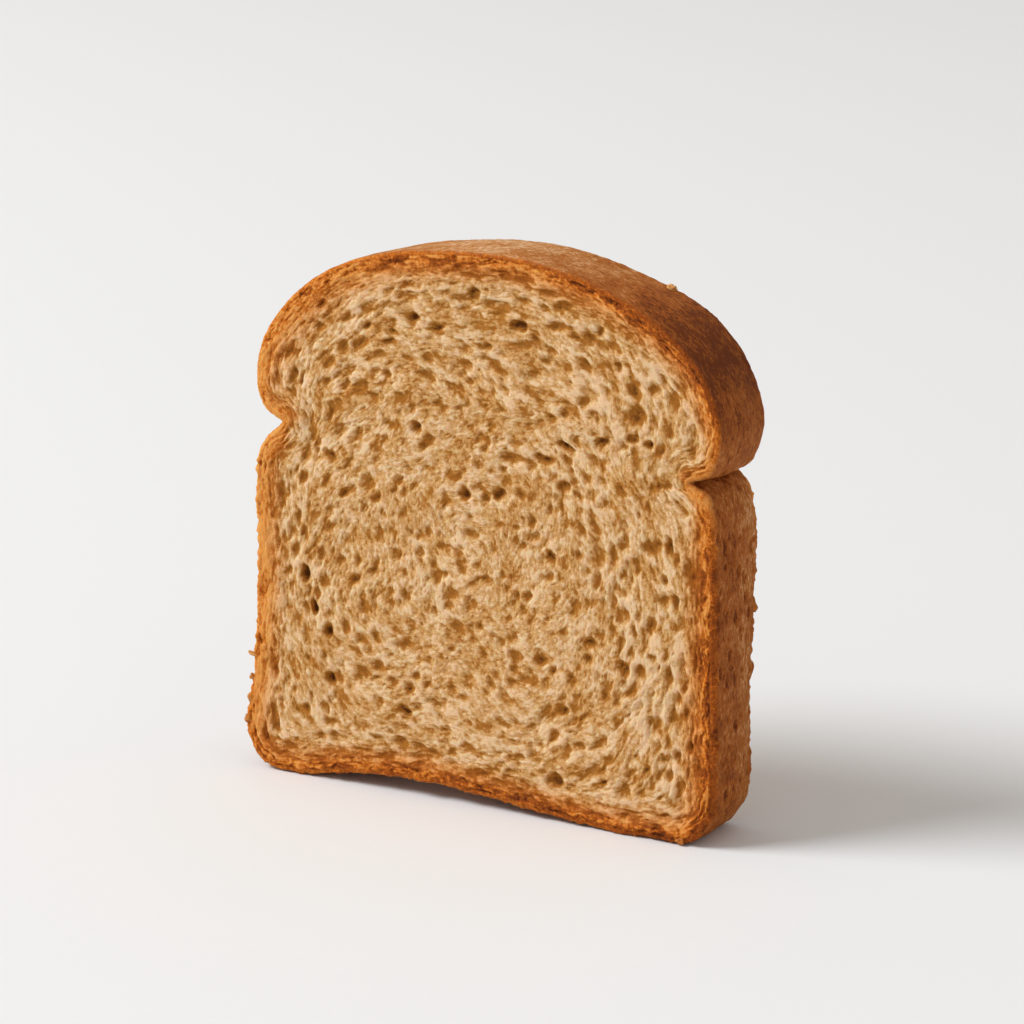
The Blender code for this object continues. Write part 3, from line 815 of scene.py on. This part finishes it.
tree.links.new(bread_colour, surface.inputs["Base Color"])
surface.inputs["Roughness"].default_value = 0.75
surface.inputs["Specular IOR Level"].default_value = 0.12
tree.links.new(maths(tree, "MULTIPLY", outer, 0.05), surface.inputs["Coat Weight"])
surface.inputs["Coat Roughness"].default_value = 0.5
surface.inputs["Subsurface Weight"].default_value = 0.7
surface.inputs["Subsurface Radius"].default_value = (1.0, 0.6, 0.3)
surface.inputs["Subsurface Scale"].default_value = 0.0016
fine = maths(tree, "MULTIPLY_ADD", threads, -1.3, grains)
fine = maths(tree, "SUBTRACT", fine, streaks)
bump = add_node(tree, "ShaderNodeBump", {"Strength": 1.0, "Distance": 0.00035, "Height": fine})
tree.links.new(bump.outputs["Normal"], surface.inputs["Normal"])

slice_mesh.materials.append(bread)
toast = bpy.data.objects.new("toast", slice_mesh)
bpy.context.scene.collection.objects.link(toast)
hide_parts("toast_slice")
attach(toast, "root")


# The loose crumbs
# Crumbs that the knife broke off cling to the crust by their own fibres: one on the back edge of
# the dome, and the rest along the sides and the base. Each is a torn lump of the same bread.
LUMP_ROWS, LUMP_COLUMNS = 14, 24
JOIN_DISTANCE = 1e-6
DRY_GOLD = (0.80, 0.44, 0.17, 1.0)
DRY_AMBER = (0.55, 0.22, 0.05, 1.0)
DRY_BROWN = (0.42, 0.115, 0.014, 1.0)

# For each crumb: its middle, its half sizes along, across and up, its turn in degrees, and how
# brown it is from 0 to 1
CRUMBS = (
    ((36.4, 8.0, 110.8), (0.95, 0.85, 0.85), 20, 0.0),
    ((-55.3, -8.9, 25.2), (1.2, 0.6, 0.5), -12, 0.2),
    ((-56.2, -8.7, 15.2), (0.7, 0.7, 1.0), 10, 0.5),
    ((-56.8, -8.7, 10.6), (0.95, 0.8, 1.0), 30, 0.6),
    ((-55.7, -8.8, 20.2), (0.5, 0.5, 0.6), 0, 0.4),
    ((55.2, 8.6, 47.4), (1.0, 0.8, 1.4), 15, 0.8),
    ((48.6, -8.9, 0.9), (1.0, 0.8, 0.7), 10, 0.8),
)


def torn_lumps():
    """Every crumb's points and faces: a round of latitude rows pushed in and out at random."""
    points, faces, browning = [], [], []
    rise = np.linspace(-math.pi / 2, math.pi / 2, LUMP_ROWS)[:, None]
    turn = np.linspace(0.0, 2 * math.pi, LUMP_COLUMNS, endpoint=False)[None, :]
    for middle, half, twist, brown in CRUMBS:
        index = np.arange(LUMP_ROWS * LUMP_COLUMNS).reshape(LUMP_ROWS, LUMP_COLUMNS)
        index = index + len(points) * index.size
        ball = np.stack([np.cos(rise) * np.cos(turn), np.cos(rise) * np.sin(turn),
                         np.repeat(np.sin(rise), LUMP_COLUMNS, axis=1)], axis=-1)
        x, y, z = np.moveaxis(ball * half + middle, -1, 0)
        lump = 1.0 + 0.45 * hills(x, y, z, 0.6, 61) + 0.3 * hills(x, y, z, 0.3, 62)
        ball = ball * lump[..., None] * half
        lean = math.radians(twist)
        points.append(np.stack([
            ball[..., 0] * math.cos(lean) - ball[..., 2] * math.sin(lean), ball[..., 1],
            ball[..., 0] * math.sin(lean) + ball[..., 2] * math.cos(lean)], axis=-1) + middle)
        beside = np.roll(index, -1, axis=1)
        patches = np.stack([index[:-1], beside[:-1], beside[1:], index[1:]], axis=-1)
        faces.append(patches.reshape(-1, 4))
        browning += [brown] * index.size
    return np.vstack([lump.reshape(-1, 3) for lump in points]), np.vstack(faces), browning


lump_points, lump_faces, browning = torn_lumps()
crumbs_mesh = bpy.data.meshes.new("loose_crumbs")
crumbs_mesh.from_pydata((lump_points * MM).tolist(), [], lump_faces.tolist())
crumbs_mesh.attributes.new("brown", "FLOAT", "POINT").data.foreach_set("value", browning)
joiner = bmesh.new()
joiner.from_mesh(crumbs_mesh)
bmesh.ops.remove_doubles(joiner, verts=joiner.verts, dist=JOIN_DISTANCE)
joiner.to_mesh(crumbs_mesh)
joiner.free()
crumbs_mesh.shade_smooth()

crumb_paint, tree, surface = new_material("dry_crumb")
place = add_node(tree, "ShaderNodeTexCoord").outputs["Object"]
threads = add_node(tree, "ShaderNodeGroup", {"Place": place}, node_tree=crumb_fibres)
threads.inputs["Scale"].default_value = FIBRE_SCALE
threads = threads.outputs["Fibres"]
pale = mixed(tree, remap(tree, threads, 0.35, 0.65), DRY_GOLD, DRY_AMBER)
crumb_colour = mixed(tree, painted("brown"), pale, DRY_BROWN)
tree.links.new(crumb_colour, surface.inputs["Base Color"])
surface.inputs["Roughness"].default_value = 0.8
surface.inputs["Specular IOR Level"].default_value = 0.12
bump = add_node(tree, "ShaderNodeBump", {"Strength": 0.6, "Distance": 0.0002, "Height": threads})
tree.links.new(bump.outputs["Normal"], surface.inputs["Normal"])
crumbs_mesh.materials.append(crumb_paint)
crumbs = bpy.data.objects.new("loose_crumbs", crumbs_mesh)
bpy.context.scene.collection.objects.link(crumbs)
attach(crumbs, "root")
